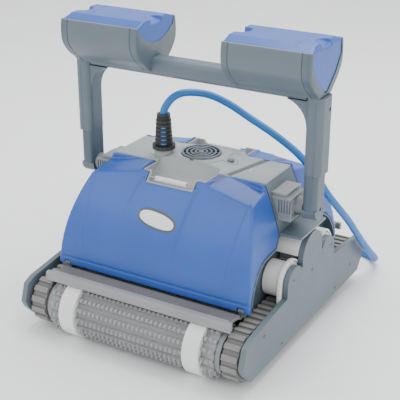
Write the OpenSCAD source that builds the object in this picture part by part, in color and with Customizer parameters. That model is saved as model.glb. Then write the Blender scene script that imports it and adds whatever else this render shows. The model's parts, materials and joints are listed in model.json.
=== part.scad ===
// Robotic pool cleaner: tracked body, two filter covers, climbing brushes, float handle, floating cable.
// Front is -Y, the floor is z = 0, all lengths in millimetres.

/* [Overall] */
// Width over the two outer side panels
panel_width = 430; // [370:5:500]
// Distance between the front and rear brush axes
brush_base = 392; // [340:4:460]
// Height of the flat body top above the floor
body_height = 280; // [245:5:330]
// Height of the float rims above the floor
handle_height = 510; // [450:5:600]

/* [Brushes and belts] */
// Outer diameter of the climbing rings
ring_d = 100; // [84:1:112]
// Width of one climbing ring
ring_w = 30; // [20:1:38]
// Diameter of the belt wheels
wheel_d = 67; // [58:1:72]
// Width of a drive belt
belt_w = 28; // [22:1:30]
// Number of bristle blocks round the brush
brush_rows = 14; // [10:1:18]

/* [Handle] */
// Width of a handle leg
leg_w = 30; // [24:1:34]
// Depth of a handle leg
leg_d = 42; // [34:1:50]
// Length of one float
float_l = 153; // [120:1:160]
// Half depth of a float at its widest
float_r = 63; // [52:1:75]

/* [Body] */
// Wall thickness of the covers
cover_t = 3; // [2.4:0.2:3.6]
// Radius of the outlet grille
grille_r = 34; // [28:1:37]
// Diameter of the floating cable
cable_d = 13; // [9:0.5:13.5]

/* [Hidden] */
$fn = 64;
hw = panel_width / 2;
yb = brush_base / 2;
zb = ring_d / 2;
wall_x = hw - 48;
belt_x = hw - 44;
panel_x = hw - 9.5;
yh = yb - 25;
hood_z = 100;
hood_x = hw - 29;
hood_rise = body_height - hood_z;
pulley_z = 152;
roller_y = 66;
roller_z = 126;
roller_r = 30;
pin_r = 5;
fit = 0.05;
pivot_y = -15;
pivot_z = body_height - 40;
leg_x = hw + 5;
bar_z = handle_height - 88;
bar_h = 31;
float_x = hw + 15;
belt_t = 5;
lug_h = 3;
wheel_in = wheel_d / 2 + 0.6;
pulley_in = 31;
roller_in = roller_r + 0.6 + lug_h + belt_t;
guard_r = pulley_in + belt_t + lug_h + 2.8;
gland_x = -62;
gland_y = -22;

// Centre and radius of the circle through three points
function circ3(a, b, c) = let(
    d = 2 * (a[0] * (b[1] - c[1]) + b[0] * (c[1] - a[1]) + c[0] * (a[1] - b[1])),
    qa = a[0] * a[0] + a[1] * a[1],
    qb = b[0] * b[0] + b[1] * b[1],
    qc = c[0] * c[0] + c[1] * c[1],
    u = (qa * (b[1] - c[1]) + qb * (c[1] - a[1]) + qc * (a[1] - b[1])) / d,
    v = (qa * (c[0] - b[0]) + qb * (a[0] - c[0]) + qc * (b[0] - a[0])) / d)
    [u, v, norm([a[0] - u, a[1] - v])];

// Points of an arc round c from angle a0 to a1
function arc(c, r, a0, a1, n) = [for (i = [0:n]) let(a = a0 + (a1 - a0) * i / n)
    [c[0] + r * cos(a), c[1] + r * sin(a)]];

function rev(v) = [for (i = [len(v) - 1:-1:0]) v[i]];
function flip(v) = [for (p = v) [-p[0], p[1]]];

// Prism along X of a profile drawn in (y, z)
module xprism(pts, x0, x1) {
  translate([x0, 0, 0]) rotate([90, 0, 90]) linear_extrude(x1 - x0) polygon(pts);
}

module xcyl(x0, x1, y, z, r) {
  translate([x0, y, z]) rotate([0, 90, 0]) cylinder(h = x1 - x0, r = r);
}

module box(x0, x1, y0, y1, z0, z1) {
  translate([x0, y0, z0]) cube([x1 - x0, y1 - y0, z1 - z0]);
}

module both() {
  children();
  mirror([1, 0, 0]) children();
}

module ends() {
  children();
  mirror([0, 1, 0]) children();
}

// Upright bar with rounded corners
module round_bar(w, d, r, h) {
  union() {
    translate([-w / 2, -d / 2 + r, 0]) cube([w, d - 2 * r, h]);
    translate([-w / 2 + r, -d / 2, 0]) cube([w - 2 * r, d, h]);
    for (sx = [-1, 1])
      for (sy = [-1, 1])
        translate([sx * (w / 2 - r), sy * (d / 2 - r), 0]) cylinder(h = h, r = r);
  }
}

// ---------- hood shape ----------
front_arc = circ3([-yh, hood_z], [-yh + 19, hood_z + hood_rise * 0.48],
                  [-yh + 66, hood_z + hood_rise * 0.9]);
side_arc = circ3([hood_x, hood_z], [hood_x - 8, hood_z + hood_rise * 0.46],
                 [hood_x - 40, body_height]);

// Closed hood solid, every face moved in by t
module hood(t) {
  intersection() {
    xcyl(-hw, hw, front_arc[0], front_arc[1], front_arc[2] - t, $fn = 240);
    xcyl(-hw, hw, -front_arc[0], front_arc[1], front_arc[2] - t, $fn = 240);
    translate([side_arc[0], yb, side_arc[1]]) rotate([90, 0, 0])
      cylinder(h = 2 * yb, r = side_arc[2] - t, $fn = 240);
    translate([-side_arc[0], yb, side_arc[1]]) rotate([90, 0, 0])
      cylinder(h = 2 * yb, r = side_arc[2] - t, $fn = 240);
    box(-hw, hw, -yb, yb, hood_z + 4, body_height - t);
    corner_cut(t);
  }
}

// Sloped facets along the outer part of the front and rear top edges
module corner_cut(t) {
  difference() {
    box(-hw, hw, -yb, yb, 0, body_height + 20);
    ends() both() translate([74, -48 + t, body_height + 0.5 - t]) rotate([8, 9, -6])
      box(-2 - t, 130, -150, 0, 0, 60);
  }
}

cover_y = -yh + 6;
cover_z = hood_z + 9;
cover_low = hood_z + 7;
hinge_r = 2.5;

// Front cover: thin shell with a hinge barrel at each lower corner
module half_cover() {
  difference() {
    union() {
      difference() {
        intersection() {
          difference() {
            hood(0);
            hood(cover_t);
          }
          box(-hw, hw, -yb, -48.5, cover_low, body_height + 9);
        }
        both() arch_void(wall_x - 18, hw);
        grip_void(3.6);
      }
      intersection() {
        both() box(belt_x + 6, hw, -yh - 1, cover_y + 4, cover_low, cover_z + 5);
        hood(0);
      }
      both() xcyl(belt_x - 2, belt_x + 8, cover_y, cover_z, hinge_r);
    }
    both() difference() {
      box(tub_x - 0.6, belt_x + 4.6, -yh - 2, cover_y + 9, hood_z, cover_z + 5.5);
      xcyl(belt_x - 3, hw, cover_y, cover_z, hinge_r);
    }
  }
}

// ---------- belt path ----------
path_w = [-yb, zb];
path_r = [-roller_y, roller_z];
path_p = [0, pulley_z];
d_wr = norm(path_r - path_w);
d_rp = norm(path_p - path_r);
a_wr = atan2(path_r[1] - path_w[1], path_r[0] - path_w[0]) + acos((wheel_in + roller_in) / d_wr);
a_rp = atan2(path_p[1] - path_r[1], path_p[0] - path_r[0]) - acos((roller_in + pulley_in) / d_rp);
seg0 = yb;
seg1 = wheel_in * (270 - a_wr) * PI / 180;
seg2 = sqrt(d_wr * d_wr - (wheel_in + roller_in) * (wheel_in + roller_in));
seg3 = roller_in * (a_rp + 180 - a_wr) * PI / 180;
seg4 = sqrt(max(0.01, d_rp * d_rp - (roller_in + pulley_in) * (roller_in + pulley_in)));
seg5 = pulley_in * (a_rp + 90) * PI / 180;
half_len = seg0 + seg1 + seg2 + seg3 + seg4 + seg5;
lug_n = round(half_len / 16);
pitch = half_len / lug_n;

function on_arc(c, r, a, side) = [c[0] + r * cos(a), c[1] + r * sin(a), side * cos(a), side * sin(a)];
function between(p, q, f) = [for (i = [0:3]) p[i] + (q[i] - p[i]) * f];

// Point and outward normal of the belt's inner face at distance s from the middle of the bottom run
function path(s) =
    s <= seg0 ? [-s, zb - wheel_in, 0, -1] :
    s <= seg0 + seg1 ?
      on_arc(path_w, wheel_in, 270 - (s - seg0) / wheel_in * 180 / PI, 1) :
    s <= seg0 + seg1 + seg2 ?
      between(on_arc(path_w, wheel_in, a_wr, 1), on_arc(path_r, roller_in, a_wr + 180, -1),
              (s - seg0 - seg1) / seg2) :
    s <= seg0 + seg1 + seg2 + seg3 ?
      on_arc(path_r, roller_in, a_wr + 180 + (s - seg0 - seg1 - seg2) / roller_in * 180 / PI, -1) :
    s <= half_len - seg5 ?
      between(on_arc(path_r, roller_in, a_rp + 360, -1), on_arc(path_p, pulley_in, a_rp + 180, 1),
              (s - seg0 - seg1 - seg2 - seg3) / seg4) :
      on_arc(path_p, pulley_in, a_rp + 180 - (s - half_len + seg5) / pulley_in * 180 / PI, 1);

function off(p, h) = [p[0] + p[2] * h, p[1] + p[3] * h];

half_out = [for (i = [0:lug_n - 1], k = [[0, 0], [0.25, 0], [0.25, 1], [0.5, 1], [0.75, 1], [0.75, 0]])
    off(path((i + k[0]) * pitch), belt_t + lug_h * k[1])];
half_in = [for (i = [0:2 * lug_n]) off(path(i * pitch / 2), 0)];
loop_out = concat(half_out, [off(path(half_len), belt_t)], flip(rev([for (i = [1:len(half_out) - 1]) half_out[i]])));
loop_in = concat(half_in, flip(rev([for (i = [1:len(half_in) - 2]) half_in[i]])));

module belt() {
  difference() {
    xprism(loop_out, belt_x, belt_x + belt_w);
    xprism(loop_in, belt_x - 1, belt_x + belt_w + 1);
  }
}

// ---------- body ----------
tub_x = wall_x - 4;
tub_y = yb - zb - 6;
flap_y = -66;
flap_z = 27;

module tub() {
  color([0.35, 0.38, 0.42]) difference() {
    union() {
      difference() {
        box(-tub_x, tub_x, -tub_y, tub_y, 20, hood_z - 2);
        box(-tub_x + 3, tub_x - 3, -tub_y + 3, tub_y - 3, 24, hood_z + 1);
      }
      ends() box(-tub_x, tub_x, -yh + 16, -tub_y, hood_z - 5, hood_z - 2);
      ends() both() box(66, 71, flap_y - 4, flap_y + 4, 24, 31);
    }
    ends() box(-60, 60, flap_y - 27, flap_y - 3, 19, 25);
    ends() xcyl(-73, 73, flap_y, flap_z, 1.5 + fit);
  }
}

// Flap over one debris intake, hinged along its inner edge
module flap() {
  color([0.2, 0.22, 0.25]) union() {
    box(-63, 63, flap_y - 30, flap_y, 24.4, 26.4);
    xcyl(-63, 63, flap_y, flap_z, 2.5);
    xcyl(-69, 69, flap_y, flap_z, 1.5);
  }
}

module flap_front() { flap(); }

module flap_rear() { mirror([0, 1, 0]) flap(); }

// Side opening of the hood over belt and roller, drawn in (y, z), moved in by k
function arch_pts(k) = concat(
    [for (a = [178:-8.6:92]) [-yh + 74 + (69 - k) * cos(a), hood_z - 4 + (80 - k) * sin(a)]],
    [[-roller_y + 2, hood_z + 79 - k], [-49, hood_z + 96 - k]]);

module arch_void(x0, x1) {
  xprism(concat(arch_pts(0),
    [[-49, body_height + 9], [40, body_height + 9], [40, hood_z - 4]]), x0, x1);
}

module side_wall() {
  ledge = hood_z + 94;
  color([0.5, 0.53, 0.56]) difference() {
    union() {
      box(tub_x, wall_x, -tub_y, tub_y, 20, hood_z);
      intersection() {
        box(tub_x, wall_x, -yh, yh, hood_z - 2, ledge + 4);
        union() {
          hood(cover_t + 1);
          box(tub_x, wall_x, -yh + 8, yh - 8, hood_z - 2, hood_z + 6);
        }
      }
      intersection() {
        union() {
          difference() {
            hood(0);
            hood(4);
          }
          box(tub_x, hw, -48, 48, ledge, ledge + 4);
        }
        box(100, hw, -48, 48, ledge, body_height - 4);
      }
      intersection() {
        difference() {
          ends() xprism(concat(arch_pts(0.6), rev(arch_pts(4))), tub_x + 1, hw);
          ends() box(belt_x + 4, hw, -yh - 1, cover_y + 5, hood_z - 9, cover_z + 7);
        }
        hood(0.4);
      }
      ends() box(tub_x + 1, belt_x + 4, cover_y - 1, cover_y + 8, hood_z - 2, cover_z + 4);
      ends() xcyl(tub_x + 1, belt_x + 4, cover_y, cover_z, hinge_r + 1.9);
    }
    ends() xcyl(belt_x - 3, belt_x + 5, cover_y, cover_z, hinge_r + fit);
    ends() xcyl(tub_x - 1, wall_x + 1, -yb, zb, 20);
    ends() xcyl(tub_x - 1, wall_x + 1, -roller_y, roller_z, pin_r);
    xcyl(tub_x - 1, wall_x + 1, 0, pulley_z, 6 + fit);
  }
}

module side_wall_right() { side_wall(); }

module side_wall_left() { mirror([1, 0, 0]) side_wall(); }

// Ribbed housing that carries the handle pivot
hub_x = leg_x - leg_w / 2 - 0.3;

module hub_housing() {
  color([0.66, 0.68, 0.68]) difference() {
    union() {
      box(hood_x - 50, hub_x - 14, pivot_y - 27, pivot_y + 27, pivot_z - 22, pivot_z + 18);
      box(hood_x - 50, hub_x - 24, pivot_y - 23, pivot_y + 33, pivot_z + 17, pivot_z + 23);
      xcyl(hub_x - 15, hub_x, pivot_y, pivot_z, 15);
    }
    hood(0);
    for (i = [0:4])
      box(hub_x - 17 - i * 5, hub_x - 15 - i * 5, pivot_y - 28, pivot_y - 25, pivot_z - 8, pivot_z + 14);
    xcyl(hub_x - 20, hub_x + 1, pivot_y, pivot_z, 8);
  }
}

module hub_housing_right() { hub_housing(); }

module hub_housing_left() { mirror([1, 0, 0]) hub_housing(); }

// Fixed pin and cap the handle leg turns on
module pivot_pins() {
  color([0.75, 0.76, 0.78]) both() xcyl(hub_x - 20, hub_x + leg_low - 6, pivot_y, pivot_z, 8);
}

module motor_unit() {
  color([0.16, 0.17, 0.2]) difference() {
    union() {
      box(-56, 56, -40, 40, 24, pulley_z + 12);
      both() xcyl(55, 92, 0, pulley_z, 18);
      translate([0, 0, pulley_z + 11]) cylinder(h = 29, r = 4);
    }
    xcyl(-95, 95, 0, pulley_z, 6 + fit);
  }
}

module pump_duct() {
  color([0.3, 0.33, 0.36]) difference() {
    translate([0, 0, pulley_z + 12]) cylinder(h = body_height - pulley_z - 12, r = grille_r + 4);
    translate([0, 0, pulley_z + 11]) cylinder(h = body_height - pulley_z, r = grille_r + 1);
  }
}

// Pump impeller: hub, blades and shaft
module impeller() {
  color([0.82, 0.83, 0.84]) translate([0, 0, pulley_z + 20]) {
    difference() {
      union() {
        cylinder(h = 30, r = 9);
        for (i = [0:3])
          rotate([0, 0, i * 90]) translate([8, -1.2, 2]) rotate([35, 0, 0]) cube([grille_r - 15, 2.4, 24]);
      }
      translate([0, 0, -1]) cylinder(h = 24, r = 4 + fit);
    }
  }
}

// Filter cartridge: frame with pleated sides
module filter() {
  color([0.88, 0.9, 0.9]) difference() {
    box(-150, 150, -yh + 36, -46, 24, hood_z + 92);
    box(-144, 144, -yh + 40, -50, 20, hood_z + 86);
    for (i = [-11:11])
      box(i * 12 - 4, i * 12 + 4, -yh + 35, -yh + 38, 40, hood_z + 80);
  }
}

module filter_front() { filter(); }

module filter_rear() { mirror([0, 1, 0]) filter(); }

// ---------- top ----------
dome_r = 260;
stripe_x = 89;
tray_y = -yh + 85;
latch_y = -yh + 78;
latch_z = body_height - 12;

// Finger hollow: wide scoop at the back, narrower tray in front, grown by t
module grip_void(t) {
  intersection() {
    translate([0, -yh + 92, body_height + 26]) rotate([0, 90, 0])
      translate([0, 0, -70]) cylinder(h = 140, r = 48 + t);
    union() {
      box(-58 - t, 58 + t, tray_y - t, 0, 0, body_height + 60);
      box(-44 - t, 40 + t, -yb, tray_y, 0, body_height + 60);
    }
  }
}

module cap_shape() {
  intersection() {
    box(-hw, hw, -48, 48, body_height - 4, body_height);
    hood(0);
  }
  intersection() {
    translate([0, 0, body_height + 12 - dome_r]) sphere(r = dome_r, $fn = 128);
    box(-96, 72, -48, 48, body_height - 4, body_height + 20);
  }
}

// Middle shell with both grips, the button guide and the rods the catches slide on
module top_cap() {
  color([0.78, 0.79, 0.8]) union() {
    difference() {
      union() {
        difference() {
          cap_shape();
          ends() grip_void(0);
        }
        ends() intersection() {
          difference() {
            grip_void(3);
            grip_void(0);
          }
          box(-64, 64, -yh + 56, -38, body_height - 40, body_height - 1);
          hood(0);
        }
      }
      translate([0, 0, body_height - 9]) cylinder(h = 40, r = grille_r);
      translate([0, 0, body_height - 9]) cylinder(h = 9, r = grille_r + 4.5);
      box(-30, 34, 39.5, 47, body_height + 1, body_height + 20);
      translate([57, 0, body_height - 9]) cylinder(h = 40, r = 6 + fit);
      translate([gland_x, gland_y, body_height - 9]) cylinder(h = 40, r = 10);
      translate([stripe_x, 0, body_height - 2]) rotate([0, 0, -15]) translate([-6, -60, 0])
        cube([12, 120, 9]);
    }
    difference() {
      translate([57, 0, body_height - 14]) cylinder(h = 12, r = 10);
      translate([57, 0, body_height - 15]) cylinder(h = 14, r = 3 + fit);
    }
    ends() xcyl(-46, 42, latch_y, latch_z, 1.5);
  }
}

module outlet_grille() {
  color([0.3, 0.31, 0.33]) translate([0, 0, body_height + 4]) union() {
    for (k = [0.34, 0.56, 0.78, 1])
      difference() {
        cylinder(h = 8, r = grille_r * k);
        translate([0, 0, -1]) cylinder(h = 10, r = grille_r * k - 3);
      }
    cylinder(h = 8, r = grille_r * 0.14);
    for (a = [0:30:150])
      rotate([0, 0, a]) translate([-grille_r + 1, -1.2, 1]) cube([2 * grille_r - 2, 2.4, 4]);
    difference() {
      translate([0, 0, -6]) cylinder(h = 8, r = grille_r);
      translate([0, 0, -7]) cylinder(h = 10, r = grille_r - 3);
    }
  }
}

module cap_button() {
  color([0.45, 0.47, 0.5]) union() {
    translate([57, 0, body_height]) cylinder(h = 8, r = 6);
    translate([57, 0, body_height - 11]) cylinder(h = 12, r = 3);
  }
}

// Slim catch bar in a grip hollow, sliding sideways on its rod
module latch() {
  color([0.8, 0.8, 0.76]) difference() {
    box(-34, 26, latch_y - 3, latch_y + 3, latch_z - 3, latch_z + 3);
    xcyl(-40, 40, latch_y, latch_z, 1.5 + fit);
  }
}

module front_latch() { latch(); }

module rear_latch() { mirror([0, 1, 0]) latch(); }

// ---------- bumpers ----------
bar_y = yb + 23;

module bumper() {
  x1 = hw - 37.5;
  color([0.6, 0.6, 0.61]) difference() {
    xprism([[-bar_y, hood_z - 2.5], [-bar_y, hood_z + 11], [-bar_y + 2, hood_z + 12.5],
            [-bar_y + 12, hood_z + 12.5], [-bar_y + 13, hood_z + 9], [-yh - 2.4, hood_z + 5],
            [-yh - 2.4, hood_z - 2], [-yh + 16, hood_z - 2],
            [-yh + 16, hood_z - 5], [-yh + 4, hood_z - 5], [-yb + 8, hood_z - 10],
            [-bar_y + 4, hood_z - 10]], -x1, x1);
    xcyl(-hw, hw, -yb, zb, zb + 2.2);
    both() box(belt_x - 1, hw, -bar_y + 8, -yb + 60, 0, hood_z + 20);
  }
}

module bumper_front() { bumper(); }

module bumper_rear() { mirror([0, 1, 0]) bumper(); }

// ---------- side panels ----------
panel_line = [[-yb - 22, 22], [-yb - 42, 44], [-yb - 48.5, 57], [-yb - 38, 88], [-yb - 20, 95],
    [-yb + 5, 98], [-yb + 64, 105], [-roller_y - 28, 108]];

module side_panel() {
  color([0.44, 0.5, 0.54]) difference() {
    union() {
      xprism(concat(panel_line, [[-roller_y - 28, roller_z], [-34, pulley_z - 8], [34, pulley_z - 8],
        [roller_y + 28, roller_z]], flip(rev(panel_line))), panel_x, hw);
      ends() xcyl(panel_x, hw, -roller_y, roller_z, 28);
      xcyl(panel_x, hw, 0, pulley_z, 39);
    }
    ends() xcyl(panel_x - 1, hw - 2.5, -yb, zb, 6 + fit);
    ends() xcyl(panel_x - 1, panel_x + 5, -roller_y, roller_z, pin_r);
    xcyl(panel_x - 1, hw - 2.5, 0, pulley_z, 6 + fit);
    for (p = screw_pts)
      xcyl(hw - 2, hw + 1, p[0], p[1], 4);
  }
}

screw_pts = [[-yb + 20, 82], [-72, 132], [0, 120], [79, 134], [yb - 20, 52], [-110, 34], [110, 34]];

module side_panel_right() { side_panel(); }

module side_panel_left() { mirror([1, 0, 0]) side_panel(); }

module panel_screws() {
  color([0.16, 0.17, 0.19]) both()
    for (p = screw_pts)
      difference() {
        xcyl(hw - 2, hw - 0.4, p[0], p[1], 4);
        box(hw - 1.2, hw, p[0] - 3, p[0] + 3, p[1] - 0.6, p[1] + 0.6);
      }
}

// ---------- belts, rollers and pulleys ----------
module belt_right() {
  color([0.52, 0.51, 0.5]) belt();
}

module belt_left() {
  color([0.52, 0.51, 0.5]) mirror([1, 0, 0]) belt();
}

// Blocks inside the lower belt run that join wall, belt and outer panel
module belt_guides() {
  color([0.4, 0.42, 0.45]) both() union() {
    box(wall_x, panel_x, -yb + 46, yb - 46, zb - wheel_in, zb - wheel_in + 14);
    ends() box(wall_x, panel_x, -104, -84, zb - wheel_in + 13, zb - wheel_in + 38);
  }
}

module roller_pins() {
  color([0.7, 0.71, 0.72]) both() ends() xcyl(tub_x, panel_x + 5, -roller_y, roller_z, pin_r);
}

module roller() {
  color([0.86, 0.86, 0.84]) difference() {
    union() {
      xcyl(belt_x - 2, panel_x - 1, -roller_y, roller_z, roller_r);
      xcyl(belt_x + belt_w + 0.6, panel_x - 1, -roller_y, roller_z, roller_r + 3);
    }
    xcyl(belt_x - 3, hw, -roller_y, roller_z, pin_r + fit);
    for (a = [0:30:330])
      translate([panel_x - 4, -roller_y, roller_z]) rotate([a, 0, 0]) box(0, 5, -2.5, 2.5, roller_r, roller_r + 9);
  }
}

module roller_front_right() { roller(); }

module roller_front_left() { mirror([1, 0, 0]) roller(); }

module roller_rear_right() { mirror([0, 1, 0]) roller(); }

module roller_rear_left() { mirror([1, 0, 0]) mirror([0, 1, 0]) roller(); }

module pulley() {
  color([0.3, 0.32, 0.35]) difference() {
    xcyl(belt_x, belt_x + belt_w, 0, pulley_z, pulley_in - 0.6);
    xcyl(belt_x - 1, hw, 0, pulley_z, 6);
    for (a = [0:60:300])
      translate([0, 0, pulley_z]) rotate([a, 0, 0]) xcyl(belt_x - 1, belt_x + belt_w + 1, 18, 0, 6);
  }
}

module pulley_right() { pulley(); }

module pulley_left() { mirror([1, 0, 0]) pulley(); }

module drive_shaft() {
  color([0.75, 0.76, 0.78]) xcyl(60, hw - 4, 0, pulley_z, 6);
}

module drive_shaft_right() { drive_shaft(); }

module drive_shaft_left() { mirror([1, 0, 0]) drive_shaft(); }

// Light guard: arc over the pulley, cover over the rear roller, ring at the front roller
module belt_guard() {
  color([0.78, 0.77, 0.74]) difference() {
    union() {
      intersection() {
        difference() {
          xcyl(wall_x, panel_x, 0, pulley_z, guard_r);
          xcyl(wall_x - 1, panel_x + 1, 0, pulley_z, guard_r - 2);
        }
        box(wall_x, panel_x, -guard_r - 5, guard_r + 5, pulley_z + 8, pulley_z + 60);
      }
      intersection() {
        xcyl(wall_x, panel_x, roller_y, roller_z, roller_r + 8);
        box(wall_x, panel_x, roller_y - 6, roller_y + 60, roller_z - 4, roller_z + 60);
      }
      xcyl(belt_x + belt_w + 0.9, panel_x, -roller_y, roller_z, roller_r + 7.6);
      box(belt_x + belt_w + 0.9, panel_x, -roller_y - 38, -roller_y - 26, roller_z - 26, roller_z + 4);
    }
    ends() xcyl(wall_x - 1, panel_x + 1, -roller_y, roller_z, roller_r + 4.2);
    xcyl(wall_x - 1, panel_x + 1, 0, pulley_z, guard_r - 2);
  }
}

module belt_guard_right() { belt_guard(); }

module belt_guard_left() { mirror([1, 0, 0]) belt_guard(); }

// ---------- brushes ----------
core_r = zb - 10;
ring_x = 120;
brush_x = hw - 57;
row_n = 12;

module star(r0, r1, turn) {
  polygon([for (i = [0:row_n - 1], k = [[0.18, r1], [0.62, r1], [0.72, r0], [1.08, r0]])
    let(a = (i + k[0] + turn) * 360 / row_n) [k[1] * cos(a), k[1] * sin(a)]]);
}

// Bristle blocks from x0 to x1 in n short lengths, every other one turned
module blocks(x0, x1, n) {
  step = (x1 - x0) / n;
  for (i = [0:n - 1])
    translate([x0 + i * step + 1.5, -yb, zb]) rotate([0, 90, 0])
      linear_extrude(step - 3) star(core_r - 1, zb - 2, i % 2 == 0 ? 0 : 0.5);
}

module brush() {
  color([0.53, 0.54, 0.55]) difference() {
    union() {
      xcyl(-brush_x, brush_x, -yb, zb, core_r);
      blocks(-ring_x + ring_w / 2, ring_x - ring_w / 2, brush_rows);
      both() blocks(ring_x + ring_w / 2, brush_x, 2);
    }
    xcyl(-hw, hw, -yb, zb, 14);
    both() xcyl(ring_x - ring_w / 2 - 0.2, ring_x + ring_w / 2 + 0.2, -yb, zb, core_r + 2);
  }
  color([0.53, 0.54, 0.55]) difference() {
    xcyl(-brush_x, brush_x, -yb, zb, core_r - 3);
    xcyl(-hw, hw, -yb, zb, 14);
  }
}

module brush_front() { brush(); }

module brush_rear() { mirror([0, 1, 0]) brush(); }

module rings() {
  color([0.84, 0.84, 0.82]) both() difference() {
    xcyl(ring_x - ring_w / 2, ring_x + ring_w / 2, -yb, zb, zb);
    xcyl(ring_x - ring_w, ring_x + ring_w, -yb, zb, core_r - 3);
  }
}

module rings_front() { rings(); }

module rings_rear() { mirror([0, 1, 0]) rings(); }

// End rings and belt wheels turning with the brush
module hubs() {
  color([0.66, 0.67, 0.67]) both() difference() {
    union() {
      xcyl(brush_x, wall_x - 0.5, -yb, zb, 19);
      xcyl(brush_x, brush_x + 9, -yb, zb, zb - 12);
      xcyl(wall_x - 1, belt_x, -yb, zb, 19);
      xcyl(belt_x, belt_x + belt_w, -yb, zb, wheel_in - 0.7);
    }
    xcyl(brush_x - 1, hw, -yb, zb, 6);
  }
}

module hubs_front() { hubs(); }

module hubs_rear() { mirror([0, 1, 0]) hubs(); }

module axle() {
  color([0.75, 0.76, 0.78]) union() {
    xcyl(-hw + 3, hw - 3, -yb, zb, 6);
    xcyl(-brush_x + 20, brush_x - 20, -yb, zb, 14);
  }
}

module axle_front() { axle(); }

module axle_rear() { mirror([0, 1, 0]) axle(); }

// ---------- handle ----------
leg_top = bar_z + 8;
foot_r = leg_d / 2 - 1.6;
leg_low = leg_w - 5;
foot_x = leg_x - 2.2;

module leg() {
  color([0.45, 0.52, 0.57]) difference() {
    union() {
      translate([leg_x, pivot_y, pivot_z + 62]) round_bar(leg_w, leg_d, 10, leg_top - pivot_z - 62);
      translate([foot_x, pivot_y, pivot_z]) round_bar(leg_low, leg_d - 2, 9, 66);
      intersection() {
        xcyl(foot_x - leg_low / 2, foot_x + leg_low / 2, pivot_y, pivot_z, foot_r);
        box(leg_x - leg_w, leg_x + leg_w, pivot_y - leg_d, pivot_y + leg_d, pivot_z - leg_d, pivot_z + 1);
      }
      difference() {
        box(leg_x - leg_w / 2 - 43, leg_x - 2, pivot_y - leg_d / 2 + 5, pivot_y + leg_d / 2 - 5,
            bar_z - 43, bar_z + 1);
        translate([leg_x - leg_w / 2 - 44, pivot_y + leg_d, bar_z - 44]) rotate([90, 0, 0])
          cylinder(h = 2 * leg_d, r = 45);
      }
    }
    box(0, leg_x - leg_w / 2, -hw, hw, bar_z, handle_height);
    xcyl(0, hub_x + leg_low - 5.5, pivot_y, pivot_z, 8 + fit);
    xcyl(leg_x + leg_w / 2 - 1.5, hw + 40, pivot_y + 8, bar_z - 14, 3.5);
    xcyl(leg_x + leg_w / 2 - 6.5, hw + 40, pivot_y, pivot_z, 3.5);
  }
}

module leg_right() { leg(); }

module leg_left() { mirror([1, 0, 0]) leg(); }

module bar_shape(x0, x1, e) {
  translate([x0, pivot_y, bar_z + bar_h / 2]) rotate([0, 90, 0])
    round_bar(bar_h + 2 * e, leg_d + 2 * e - 4, 10 + e, x1 - x0);
}

module crossbar() {
  color([0.45, 0.52, 0.57]) bar_shape(-leg_x + leg_w / 2, leg_x - leg_w / 2, 0);
}

shell_x = float_x - float_l;
rim_z = handle_height;

function shell_line(e) = [[-22 + e, leg_top], [-30 + e, leg_top + 8], [-float_r + 9 + e, rim_z - 50],
    [-float_r + 2 + e, rim_z - 38], [-float_r + e, rim_z - 24], [-float_r + 1 + e, rim_z - 10],
    [-float_r + 3 + e, rim_z]];

function at_y(v, y) = [for (p = v) [p[0] + y, p[1]]];

module float_shell() {
  color([0.45, 0.52, 0.57]) difference() {
    xprism(at_y(concat(shell_line(0), flip(rev(shell_line(0)))), pivot_y), shell_x, float_x);
    xprism(at_y([[-float_r + 10, rim_z - 40], [-float_r + 4, rim_z - 24], [-float_r + 7, rim_z + 1],
      [float_r - 7, rim_z + 1], [float_r - 4, rim_z - 24], [float_r - 10, rim_z - 40]], pivot_y),
      shell_x - 1, float_x - 4);
    xprism(at_y(tulip(0), pivot_y), float_x - 5, float_x + 1);
    bar_shape(shell_x - 1, leg_x - leg_w / 2, 0);
  }
}

// Shield outline of the blue end face
function tulip(e) = [[-float_r + 9 + e, rim_z + 1], [-float_r + 7 + e, rim_z - 22],
    [-float_r + 26 + e, rim_z - 48], [-6 + e, leg_top + 6 + e], [6 - e, leg_top + 6 + e],
    [float_r - 26 - e, rim_z - 48], [float_r - 7 - e, rim_z - 22], [float_r - 9 - e, rim_z + 1]];

module float_body() {
  color([0.28, 0.44, 0.72]) difference() {
    union() {
      xprism(at_y([[-float_r + 10, rim_z - 40], [-float_r + 4, rim_z - 24], [-float_r + 7, rim_z - 1],
        [-float_r + 27, rim_z + 7], [float_r - 27, rim_z + 7], [float_r - 7, rim_z - 1],
        [float_r - 4, rim_z - 24], [float_r - 10, rim_z - 40]], pivot_y), shell_x + 1, float_x - 4);
      xprism(at_y(tulip(0), pivot_y), float_x - 4, float_x - 1);
    }
    translate([float_x - 2, pivot_y, rim_z + 14]) rotate([0, 20, 0]) cylinder(h = 30, r = 16, center = true);
    translate([shell_x + 2, pivot_y, rim_z + 14]) rotate([0, -20, 0]) cylinder(h = 30, r = 16, center = true);
    bar_shape(shell_x - 1, leg_x - leg_w / 2, 0);
  }
}

module float_shell_right() { float_shell(); }

module float_shell_left() { mirror([1, 0, 0]) float_shell(); }

module float_right() { float_body(); }

module float_left() { mirror([1, 0, 0]) float_body(); }

// ---------- cable ----------
boot_z = body_height + 14;
boot_h = 62;

module cable_stub() {
  color([0.7, 0.72, 0.72]) difference() {
    translate([gland_x, gland_y, body_height - 6]) cylinder(h = 20, r = 16);
    translate([0, 0, body_height + 12 - dome_r]) sphere(r = dome_r, $fn = 128);
    box(-hw, hw, -hw, hw, body_height - 9, body_height);
  }
}

// Tapered ribbed boot that guards the cable where it leaves the body
module strain_relief() {
  color([0.05, 0.05, 0.06]) translate([gland_x, gland_y, boot_z]) difference() {
    union() {
      cylinder(h = 7, r = 20);
      cylinder(h = boot_h, r1 = 15.5, r2 = 11.5);
      for (i = [1:6])
        translate([0, 0, 6 + i * 7]) cylinder(h = 3.5, r = 15.6 - i * 0.4);
    }
    translate([0, 0, boot_h - 12]) cylinder(h = 20, r = cable_d / 2);
  }
}

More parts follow.
